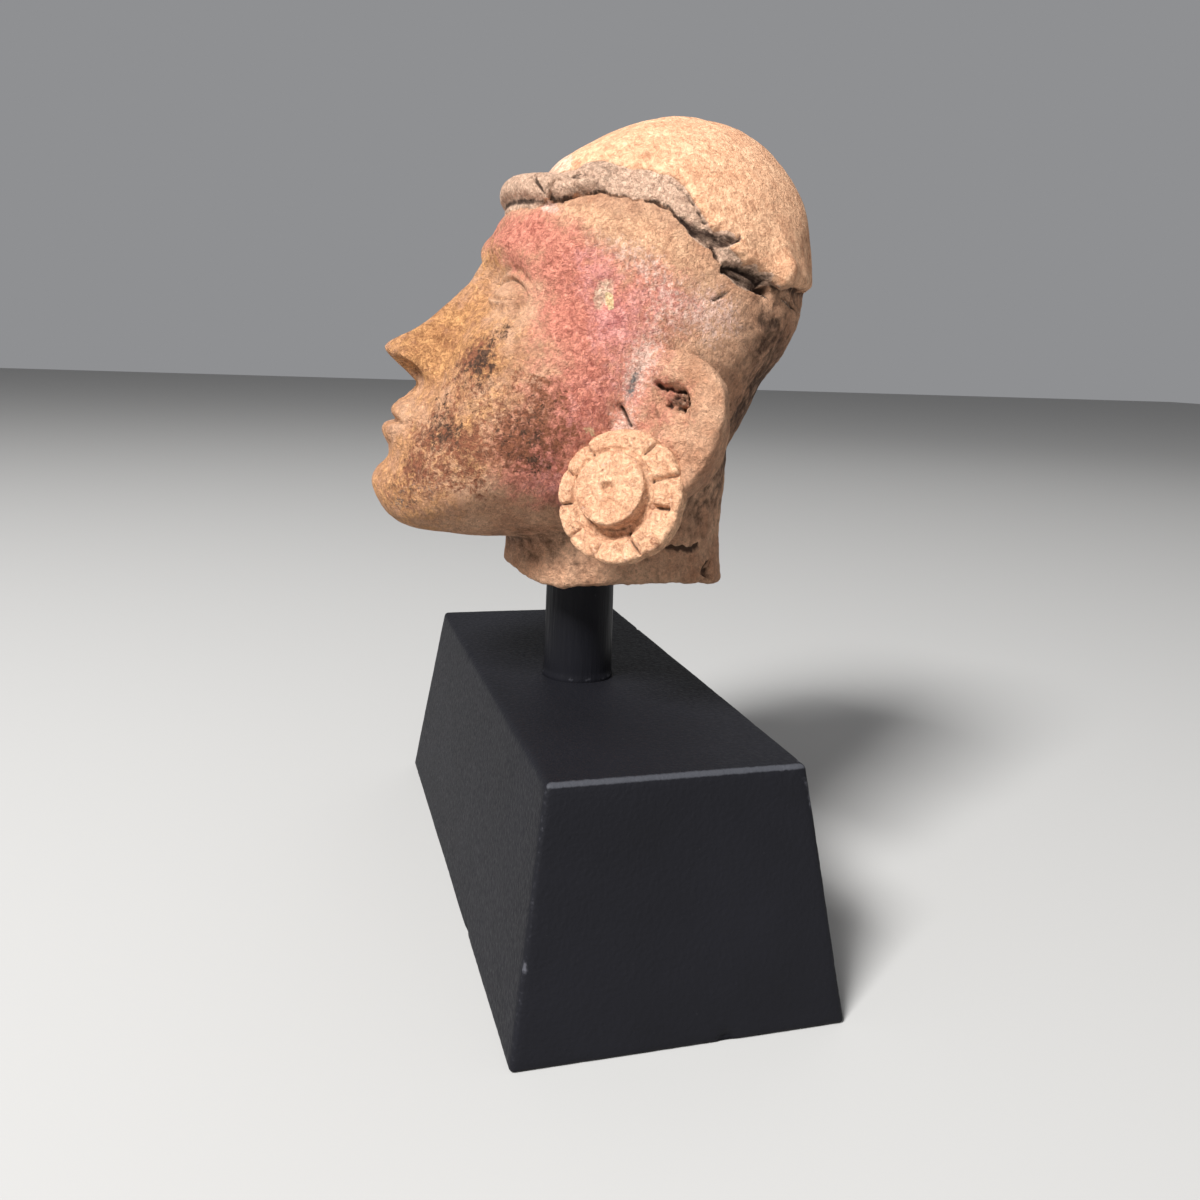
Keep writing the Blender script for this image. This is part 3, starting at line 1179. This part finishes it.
def make_post():
    """A turned post let into the block and the neck, with a bead of thick paint at its foot."""
    values = settings()
    low, high = POST_LOW * MM, POST_HIGH * MM
    post = add_primitive(bpy.ops.mesh.primitive_cylinder_add, "painted_post", vertices=128,
                         radius=values.post_foot_radius, depth=high - low,
                         location=(0, POST_Y * MM, (low + high) / 2))
    share = values.post_top_radius / values.post_foot_radius
    choose(post, "VERT", read_points(post)[:, 2] > (low + high) / 2)
    bpy.ops.transform.resize(value=(share, share, 1), center_override=(0, POST_Y * MM, high))
    bpy.ops.object.mode_set(mode="OBJECT")
    add_rings(post, 2, 150)
    at = read_points(post) / MM
    outwards = at - (0, POST_Y, 0)
    outwards[:, 2] = 0
    radius = np.linalg.norm(outwards, axis=1)
    top = values.block_height / MM
    ring = wrapped(outwards[:, 0], outwards[:, 1], at[:, 2], 12)
    bead = (0.55 + 0.35 * bumps(ring, 8, 131)) * bell(at[:, 2] - top - 0.5, 1.3)
    uneven = 0.12 * bumps(ring * (1, 1, 0.25), 6, 132) + 0.05 * bumps(ring * (1, 1, 0.12), 1.6, 133)
    side = step(radius, 8, 11)
    at += outwards / np.maximum(radius, 1e-6)[:, None] * ((bead + uneven) * side)[:, None]
    write_points(post, at * MM)
    outwards_all(post)
    worn = bell(at[:, 2] - top - 1.2, 1.2) * (0.28 + 0.3 * bumps(ring, 3, 134))
    store(post, "worn", np.clip(worn, 0, 1))
    store(post, "rubbed_line", np.zeros(len(at)))
    complete(post, black_paint("Satin black paint on turned wood", 0.42, True), ["post"])
    return post


# Knocks on the block: place in millimetres, reach, depth
KNOCKS = (
    ((105.9, -44.0, 58.0), 2.0, 1.3), ((113.5, 45.6, 27.5), 2.2, 0.9), ((101.6, 33.0, 76.5), 1.6, 0.8),
    ((115.2, 13.0, 0.6), 2.4, 1.2), ((107.8, -44.9, 44.0), 1.5, 0.6), ((112.4, -47.2, 22.0), 1.6, 0.5),
    ((-101.0, 20.0, 77.0), 1.8, 0.8), ((-109.0, -44.0, 40.0), 2.0, 0.8), ((-60.0, 39.5, 77.4), 1.7, 0.6),
    ((40.0, -50.8, 1.0), 2.2, 0.8), ((-30.0, -39.5, 77.6), 1.6, 0.5),
)


def make_block():
    """A tapered wooden block with soft arrises, knocks and worn edges."""
    values = settings()
    foot = (values.block_foot_length, values.block_foot_width)
    top = (values.block_top_length, values.block_top_width)
    height = values.block_height
    block = add_primitive(bpy.ops.mesh.primitive_cube_add, "painted_block", size=1.0,
                          location=(0, 0, height / 2), scale=(foot[0], foot[1], height))
    choose(block, "VERT", read_points(block)[:, 2] > height / 2)
    bpy.ops.transform.resize(value=(top[0] / foot[0], top[1] / foot[1], 1),
                             center_override=(0, 0, height))
    bpy.ops.mesh.select_all(action="SELECT")
    bpy.ops.mesh.select_mode(type="EDGE")
    bpy.ops.mesh.select_all(action="SELECT")
    bpy.ops.mesh.bevel(offset=values.block_arris, segments=3, affect="EDGES")
    bpy.ops.object.mode_set(mode="OBJECT")
    for axis, cuts in ((0, 150), (1, 66), (2, 50)):
        add_rings(block, axis, cuts, 8 * MM)
    at = read_points(block) / MM
    flat = read_normals(block)
    proud = np.clip(hollowness(block) * -1, 0, None)
    edge = np.clip(proud / max(np.percentile(proud, 99), 1e-9), 0, 1)
    off_floor = step(at[:, 2], 0.02, 0.6)
    push = 0.10 * bumps(at, 30, 141) + 0.025 * bumps(at, 6, 142)
    push -= edge * (0.10 + 0.16 * np.clip(bumps(at, 3.2, 143), 0, 1))
    for place, reach, depth in KNOCKS:
        away = distance_from(at, place)
        push -= depth * blunt(away + 0.4 * bumps(at, 1.5, 144), reach)
    worn = 0.9 * edge * step(bumps(at, 26, 145) + 0.6 * bumps(at, 4, 146), 0.3, 1.0)
    # The paint is rubbed thin all along the top edge of the left end
    beyond = np.abs(at[:, 0] - top[0] / MM / 2) + np.abs(at[:, 2] - height / MM)
    rubbed = np.clip(1.42 - 0.5 * beyond, 0, 1)
    # and a little down the arris below it
    arris = [(length / MM / 2, -width / MM / 2, up)
             for (length, width), up in ((top, height / MM), (foot, 0))]
    worn = np.maximum(worn, 0.36 * bell(nearest_on(at, arris)[0], 1.8))
    at += flat * (push * off_floor)[:, None]
    write_points(block, at * MM)
    store(block, "worn", worn)
    store(block, "rubbed_line", rubbed)
    complete(block, black_paint("Matt black paint on wood", 0.55, False), ["block"])
    return block


# Finishes

def node(tree, kind, links=None, **values):
    """Adds a node, sets its values, and fills its inputs with numbers, colours or sockets."""
    made = tree.nodes.new(kind)
    for key, value in values.items():
        setattr(made, key, value)
    for key, value in (links or {}).items():
        if isinstance(value, bpy.types.NodeSocket):
            tree.links.new(value, made.inputs[key])
        else:
            made.inputs[key].default_value = value
    return made


def new_material(name):
    material = bpy.data.materials.new(name)
    material.use_nodes = True
    return material, material.node_tree, material.node_tree.nodes["Principled BSDF"]


# Each coat on the clay: mask, size of its patches in mm, softness of their edges, two tones
COATS = (
    ("cap_clay", 7.0, 0.40, "#e6b893", "#c48b68"),
    ("ochre_wash", 5.0, 0.55, "#dea56f", "#985f3a"),
    ("red_pigment", 3.6, 0.50, "#e89a82", "#b05a4c"),
    ("rose_pigment", 3.0, 0.42, "#eba69a", "#c06a6a"),
    ("chalky_bloom", 1.5, 0.30, "#f2cdba", "#d9a692"),
    ("scorch", 2.1, 0.20, "#9c6247", "#6a4232"),
    ("grey_stain", 1.8, 0.24, "#8d8580", "#57504e"),
    ("soot", 1.8, 0.14, "#624636", "#33261f"),
    ("broken_clay", 2.4, 0.30, "#efcaae", "#bf967e"),
    ("cream_core", 2.0, 0.20, "#f4d9ac", "#d3a873"),
)


def cover_where(tree, noise, mask, low, high, most=1.0):
    """How far a coat covers: none where noise and mask make less than low, all above high."""
    total = node(tree, "ShaderNodeMath", {0: noise.outputs["Fac"], 1: mask}, operation="ADD")
    cover = node(tree, "ShaderNodeMapRange", {
        "Value": total.outputs[0], "From Min": low, "From Max": high, "To Max": most},
        interpolation_type="SMOOTHSTEP")
    return cover.outputs["Result"]


def body_tone(tree, place):
    """Slow drift between two tones of the bare clay, from uneven firing."""
    drift = node(tree, "ShaderNodeTexNoise", {
        "Vector": place, "Scale": 1 / 0.014, "Detail": 8.0, "Roughness": 0.7})
    drift = node(tree, "ShaderNodeMapRange", {
        "Value": drift.outputs["Fac"], "From Min": 0.36, "From Max": 0.64})
    tone = node(tree, "ShaderNodeMix", {
        "Factor": drift.outputs["Result"], "A": colour("#bf8b6b"), "B": colour("#e3b391")},
        data_type="RGBA")
    return tone.outputs["Result"]


def lay_coats(tree, place, grain, shade):
    """Lays each flaking coat over the shade, then the soil in creases and the rubbed edges."""
    for mask_name, size, soft, light, dark in COATS:
        mask = node(tree, "ShaderNodeAttribute", attribute_name=mask_name).outputs["Fac"]
        patch = node(tree, "ShaderNodeTexNoise", {
            "Vector": place, "Scale": 1 / (size * MM), "Detail": 7.0, "Roughness": 0.72,
            "Distortion": 0.5})
        cover = cover_where(tree, patch, mask, 1 - soft / 2, 1 + soft / 2)
        # Thick and thin places in the coat, and the grain showing through it
        both = node(tree, "ShaderNodeMath", {0: patch.outputs["Fac"], 1: grain.outputs["Fac"]},
                    operation="ADD")
        mottle = node(tree, "ShaderNodeMapRange", {
            "Value": both.outputs[0], "From Min": 0.76, "From Max": 1.2})
        tones = node(tree, "ShaderNodeMix", {
            "Factor": mottle.outputs["Result"], "A": colour(dark), "B": colour(light)},
            data_type="RGBA")
        coat = node(tree, "ShaderNodeMix", {
            "Factor": cover, "A": shade, "B": tones.outputs["Result"]}, data_type="RGBA")
        shade = coat.outputs["Result"]
    for mask_name, size, code, most in (("dirt", 2.4, "#33231b", 0.9), ("worn", 1.6, "#f3cfae", 0.5)):
        mask = node(tree, "ShaderNodeAttribute", attribute_name=mask_name).outputs["Fac"]
        patch = node(tree, "ShaderNodeTexNoise", {
            "Vector": place, "Scale": 1 / (size * MM), "Detail": 7.0, "Roughness": 0.75})
        cover = cover_where(tree, patch, mask, 0.68, 1.28, most)
        coat = node(tree, "ShaderNodeMix", {"Factor": cover, "A": shade, "B": colour(code)},
                    data_type="RGBA")
        shade = coat.outputs["Result"]
    return shade


def clay_relief(tree, place, fibre, torn):
    """Lumps, sand, pits and torn fibres as a bump, softer on the smoothed cap and discs."""
    # Pits where temper fell out, about 2 mm apart
    pits = node(tree, "ShaderNodeTexVoronoi", {
        "Vector": place, "Scale": 1 / 0.0021, "Randomness": 1.0})
    pitted = node(tree, "ShaderNodeMapRange", {
        "Value": pits.outputs["Distance"], "From Min": 0.04, "From Max": 0.26},
        interpolation_type="SMOOTHSTEP")
    lumps = node(tree, "ShaderNodeTexNoise", {
        "Vector": place, "Scale": 1 / 0.0032, "Detail": 6.0, "Roughness": 0.75})
    sand = node(tree, "ShaderNodeTexNoise", {
        "Vector": place, "Scale": 1 / 0.0011, "Detail": 4.0, "Roughness": 0.7, "Distortion": 0.6})
    height = node(tree, "ShaderNodeMath", {
        0: lumps.outputs["Fac"], 1: 1.5, 2: sand.outputs["Fac"]}, operation="MULTIPLY_ADD")
    height = node(tree, "ShaderNodeMath", {
        0: pitted.outputs["Result"], 1: 0.2, 2: height.outputs[0]}, operation="MULTIPLY_ADD")
    raised = node(tree, "ShaderNodeMath", {0: fibre.outputs["Fac"], 1: torn}, operation="MULTIPLY")
    height = node(tree, "ShaderNodeMath", {
        0: raised.outputs[0], 1: 1.3, 2: height.outputs[0]}, operation="MULTIPLY_ADD")
    smooth = node(tree, "ShaderNodeAttribute", attribute_name="cap_clay").outputs["Fac"]
    strength = node(tree, "ShaderNodeMapRange", {
        "Value": smooth, "From Min": 0.5, "From Max": 1.0, "To Min": 1.0, "To Max": 0.6})
    bump = node(tree, "ShaderNodeBump", {
        "Height": height.outputs[0], "Strength": strength.outputs["Result"], "Distance": 1.6 * MM})
    return bump.outputs["Normal"]


def fired_clay(name):
    """Low fired earthenware: dead matt, open grained, with worn pigment, soot and soil on it."""
    material, tree, shader = new_material(name)
    place = node(tree, "ShaderNodeTexCoord").outputs["Object"]
    # Grain of sand temper, about a millimetre across, which shows as light and dark specks
    grain = node(tree, "ShaderNodeTexNoise", {
        "Vector": place, "Scale": 1 / 0.0019, "Detail": 6.0, "Roughness": 0.78, "Distortion": 1.0})
    shade = lay_coats(tree, place, grain, body_tone(tree, place))
    specks = node(tree, "ShaderNodeMapRange", {
        "Value": grain.outputs["Fac"], "From Min": 0.36, "From Max": 0.66, "To Min": 0.64,
        "To Max": 1.22})
    speckled = node(tree, "ShaderNodeMix", {
        "Factor": 1.0, "A": shade, "B": specks.outputs["Result"]},
        data_type="RGBA", blend_type="MULTIPLY")
    # Torn clay is dragged into fibres that run back along the band, dark deep inside the tears
    torn = node(tree, "ShaderNodeAttribute", attribute_name="fibrous").outputs["Fac"]
    dragged = node(tree, "ShaderNodeMapping", {
        "Vector": place, "Rotation": (0, math.radians(20), math.radians(96)), "Scale": (6, 1, 1)},
        vector_type="TEXTURE")
    fibre = node(tree, "ShaderNodeTexNoise", {
        "Vector": dragged.outputs["Vector"], "Scale": 1 / 0.0013, "Detail": 5.0, "Roughness": 0.7})
    shadow = node(tree, "ShaderNodeMapRange", {
        "Value": fibre.outputs["Fac"], "From Min": 0.36, "From Max": 0.56, "To Min": 0.5,
        "To Max": 1.08})
    streaked = node(tree, "ShaderNodeMix", {
        "Factor": torn, "A": speckled.outputs["Result"], "B": shadow.outputs["Result"]},
        data_type="RGBA", blend_type="MULTIPLY")
    deep = node(tree, "ShaderNodeAttribute", attribute_name="torn_shadow").outputs["Fac"]
    soiled = cover_where(tree, fibre, deep, 0.84, 1.22, 0.95)
    inside_tears = node(tree, "ShaderNodeMix", {
        "Factor": soiled, "A": streaked.outputs["Result"], "B": colour("#2b1a12")},
        data_type="RGBA")
    tree.links.new(inside_tears.outputs["Result"], shader.inputs["Base Color"])
    tree.links.new(clay_relief(tree, place, fibre, torn), shader.inputs["Normal"])
    shader.inputs["Roughness"].default_value = 0.88
    shader.inputs["Specular IOR Level"].default_value = 0.22
    shader.inputs["IOR"].default_value = 1.5
    return material


def black_paint(name, gloss, streaked):
    """Black paint on wood: a soft sheen, orange peel from the roller, and paler rubbed edges."""
    material, tree, shader = new_material(name)
    place = node(tree, "ShaderNodeTexCoord").outputs["Object"]
    drift = node(tree, "ShaderNodeTexNoise", {
        "Vector": place, "Scale": 1 / 0.045, "Detail": 4.0, "Roughness": 0.6})
    tone = node(tree, "ShaderNodeMix", {
        "Factor": drift.outputs["Fac"], "A": colour("#131316"), "B": colour("#1b1b20")},
        data_type="RGBA")
    mask = node(tree, "ShaderNodeAttribute", attribute_name="worn").outputs["Fac"]
    rub = node(tree, "ShaderNodeTexNoise", {
        "Vector": place, "Scale": 1 / 0.0016, "Detail": 6.0, "Roughness": 0.7})
    cover = cover_where(tree, rub, mask, 0.8, 1.2, 0.75)
    worn = node(tree, "ShaderNodeMix", {
        "Factor": cover, "A": tone.outputs["Result"], "B": colour("#56565c")},
        data_type="RGBA")
    line = node(tree, "ShaderNodeAttribute", attribute_name="rubbed_line").outputs["Fac"]
    line = node(tree, "ShaderNodeMath", {0: rub.outputs["Fac"], 1: 0.5, 2: line},
                operation="MULTIPLY_ADD")
    line = node(tree, "ShaderNodeMapRange", {
        "Value": line.outputs[0], "From Min": 0.8, "From Max": 1.15, "To Max": 0.85},
        interpolation_type="SMOOTHSTEP")
    worn = node(tree, "ShaderNodeMix", {
        "Factor": line.outputs["Result"], "A": worn.outputs["Result"], "B": colour("#434449")},
        data_type="RGBA")
    # Small pale scuffs, a millimetre or two across, far apart
    dust = node(tree, "ShaderNodeTexNoise", {
        "Vector": place, "Scale": 1 / 0.006, "Detail": 8.0, "Roughness": 0.75})
    scuffs = node(tree, "ShaderNodeMapRange", {
        "Value": dust.outputs["Fac"], "From Min": 0.67, "From Max": 0.73, "To Max": 0.45})
    scuffed = node(tree, "ShaderNodeMix", {
        "Factor": scuffs.outputs["Result"], "A": worn.outputs["Result"], "B": colour("#6d6c70")},
        data_type="RGBA")
    tree.links.new(scuffed.outputs["Result"], shader.inputs["Base Color"])
    stretched = node(tree, "ShaderNodeMapping", {
        "Vector": place, "Scale": (1, 1, 0.06 if streaked else 1)})
    peel = node(tree, "ShaderNodeTexNoise", {
        "Vector": stretched.outputs["Vector"], "Scale": 1 / 0.0014, "Detail": 3.0,
        "Roughness": 0.55})
    gloss_range = node(tree, "ShaderNodeMapRange", {
        "Value": peel.outputs["Fac"], "From Min": 0.3, "From Max": 0.7, "To Min": gloss - 0.08,
        "To Max": gloss + 0.1})
    tree.links.new(gloss_range.outputs["Result"], shader.inputs["Roughness"])
    bump = node(tree, "ShaderNodeBump", {
        "Height": peel.outputs["Fac"], "Strength": 1.0, "Distance": 0.28 * MM})
    tree.links.new(bump.outputs["Normal"], shader.inputs["Normal"])
    shader.inputs["Specular IOR Level"].default_value = 0.1
    shader.inputs["IOR"].default_value = 1.5
    return material


def pale_floor():
    """Plain matt studio floor."""
    material, _, shader = new_material("Matt pale studio card")
    shader.inputs["Base Color"].default_value = (*settings().floor_colour, 1.0)
    shader.inputs["Roughness"].default_value = 0.9
    shader.inputs["Specular IOR Level"].default_value = 0.1
    return material


# Stage

CAMERA_PLACE = (0.3658, -0.1047, 0.1939)
CAMERA_AZIMUTH = math.radians(73.51)
CAMERA_ELEVATION = math.radians(13.05)
CAMERA_ROLL = math.radians(2.17)
# Lights: name, azimuth and elevation in degrees, distance, size and power
LIGHTS = (
    ("key", 38, 46, 2.4, 0.7, 127.0),
    ("fill", 100, 20, 2.4, 1.6, 4.0),
    ("back", 230, 40, 2.0, 1.2, 3.0),
)


def away_from(azimuth, elevation):
    return Vector((math.sin(azimuth) * math.cos(elevation),
                   -math.cos(azimuth) * math.cos(elevation), math.sin(elevation)))


def make_camera():
    """A camera at the photograph's place, with its slight roll."""
    back = away_from(CAMERA_AZIMUTH, CAMERA_ELEVATION)
    right = (-back).cross(Vector((0, 0, 1))).normalized()
    up = right.cross(-back)
    c, s = math.cos(CAMERA_ROLL), math.sin(CAMERA_ROLL)
    columns = Matrix((c * right + s * up, c * up - s * right, back)).transposed()
    data = bpy.data.cameras.new("camera")
    data.sensor_width = 36.0
    data.lens = 31.99
    data.clip_start = 0.01
    data.clip_end = 50.0
    camera = bpy.data.objects.new("camera", data)
    camera.matrix_world = Matrix.Translation(CAMERA_PLACE) @ columns.to_4x4()
    bpy.context.scene.collection.objects.link(camera)
    bpy.context.scene.camera = camera


def make_stage():
    """The pale floor, the soft lights and the camera."""
    floor = add_primitive(bpy.ops.mesh.primitive_plane_add, "floor", size=12.0)
    floor.data.materials.append(pale_floor())
    aim = Vector((0, 0, 0.16))
    for name, azimuth, elevation, distance, size, power in LIGHTS:
        data = bpy.data.lights.new(name, "AREA")
        data.size = size
        data.energy = power
        light = bpy.data.objects.new(name, data)
        back = away_from(math.radians(azimuth), math.radians(elevation))
        light.location = aim + back * distance
        light.rotation_mode = "QUATERNION"
        light.rotation_quaternion = back.to_track_quat("Z", "Y")
        bpy.context.scene.collection.objects.link(light)
    world = bpy.data.worlds.new("pale room")
    world.use_nodes = True
    background = world.node_tree.nodes["Background"]
    background.inputs["Color"].default_value = (0.86, 0.87, 0.9, 1.0)
    background.inputs["Strength"].default_value = 0.32
    bpy.context.scene.world = world
    # Colours come out as plainly as in a photograph of the piece
    bpy.context.scene.view_settings.view_transform = "Standard"
    make_camera()


# Add-on classes

class ClayHeadSettings(bpy.types.PropertyGroup):
    """Sizes and colours that a user would change."""
    surface_step: FloatProperty(
        name="Head surface step", description="Size of the faces the head is worked in",
        default=0.0005, min=0.0003, max=0.003, precision=5, unit="LENGTH")
    disc_step: FloatProperty(
        name="Disc surface step", description="Size of the faces the ear discs are worked in",
        default=0.00032, min=0.0002, max=0.002, precision=5, unit="LENGTH")
    head_triangles: IntProperty(
        name="Head triangles", description="Most triangles kept on the head", default=192000,
        min=20000, max=199000)
    disc_triangles: IntProperty(
        name="Disc triangles", description="Most triangles kept on each ear disc", default=60000,
        min=5000, max=150000)
    block_foot_length: FloatProperty(
        name="Block foot length", description="Length of the block's underside", default=0.231,
        unit="LENGTH")
    block_foot_width: FloatProperty(
        name="Block foot width", description="Width of the block's underside", default=0.103,
        unit="LENGTH")
    block_top_length: FloatProperty(
        name="Block top length", description="Length of the block's top", default=0.2,
        unit="LENGTH")
    block_top_width: FloatProperty(
        name="Block top width", description="Width of the block's top", default=0.079,
        unit="LENGTH")
    block_height: FloatProperty(
        name="Block height", description="Height of the block", default=0.078, unit="LENGTH")
    block_arris: FloatProperty(
        name="Block arris", description="How far the block's edges are rounded", default=0.0015,
        precision=4, unit="LENGTH")
    post_foot_radius: FloatProperty(
        name="Post foot radius", description="Radius of the post at its foot", default=0.0129,
        precision=4, unit="LENGTH")
    post_top_radius: FloatProperty(
        name="Post top radius", description="Radius of the post in the neck", default=0.0116,
        precision=4, unit="LENGTH")
    floor_colour: FloatVectorProperty(
        name="Floor colour", description="Colour of the studio floor", subtype="COLOR",
        default=(0.42, 0.415, 0.405), min=0, max=1)


class MESH_OT_clay_head(bpy.types.Operator):
    """Makes the fired clay head with its ears, neck and broken headband"""
    bl_idname = "mesh.clay_head"
    bl_label = "Clay head"

    def execute(self, context):
        make_head()
        return {"FINISHED"}


class MESH_OT_ear_discs(bpy.types.Operator):
    """Makes the two petalled ear discs"""
    bl_idname = "mesh.clay_ear_discs"
    bl_label = "Ear discs"

    def execute(self, context):
        for hand in (1, -1):
            make_disc(hand)
        return {"FINISHED"}


class MESH_OT_painted_post(bpy.types.Operator):
    """Makes the black painted post"""
    bl_idname = "mesh.painted_post"
    bl_label = "Painted post"

    def execute(self, context):
        make_post()
        return {"FINISHED"}


class MESH_OT_painted_block(bpy.types.Operator):
    """Makes the black painted block"""
    bl_idname = "mesh.painted_block"
    bl_label = "Painted block"

    def execute(self, context):
        make_block()
        return {"FINISHED"}


class SCENE_OT_clay_head_stage(bpy.types.Operator):
    """Makes the floor, the lights and the camera"""
    bl_idname = "scene.clay_head_stage"
    bl_label = "Stage"

    def execute(self, context):
        make_stage()
        return {"FINISHED"}


OPERATORS = (
    MESH_OT_clay_head, MESH_OT_ear_discs, MESH_OT_painted_post, MESH_OT_painted_block,
    SCENE_OT_clay_head_stage,
)


class VIEW3D_PT_clay_head(bpy.types.Panel):
    """Lists what the add-on makes, with its sizes"""
    bl_label = "Clay head"
    bl_idname = "VIEW3D_PT_clay_head"
    bl_space_type = "VIEW_3D"
    bl_region_type = "UI"
    bl_category = "Clay head"

    def draw(self, context):
        for maker in OPERATORS:
            self.layout.operator(maker.bl_idname)
        for key in ClayHeadSettings.__annotations__:
            self.layout.prop(context.scene.clay_head_settings, key)


def register():
    for part in (ClayHeadSettings, *OPERATORS, VIEW3D_PT_clay_head):
        bpy.utils.register_class(part)
    bpy.types.Scene.clay_head_settings = PointerProperty(type=ClayHeadSettings)


def unregister():
    del bpy.types.Scene.clay_head_settings
    for part in (VIEW3D_PT_clay_head, *reversed(OPERATORS), ClayHeadSettings):
        bpy.utils.unregister_class(part)


def main():
    register()
    bpy.ops.scene.clay_head_stage()
    bpy.ops.mesh.clay_head()
    bpy.ops.mesh.clay_ear_discs()
    bpy.ops.mesh.painted_post()
    bpy.ops.mesh.painted_block()


if __name__ == "__main__":
    main()
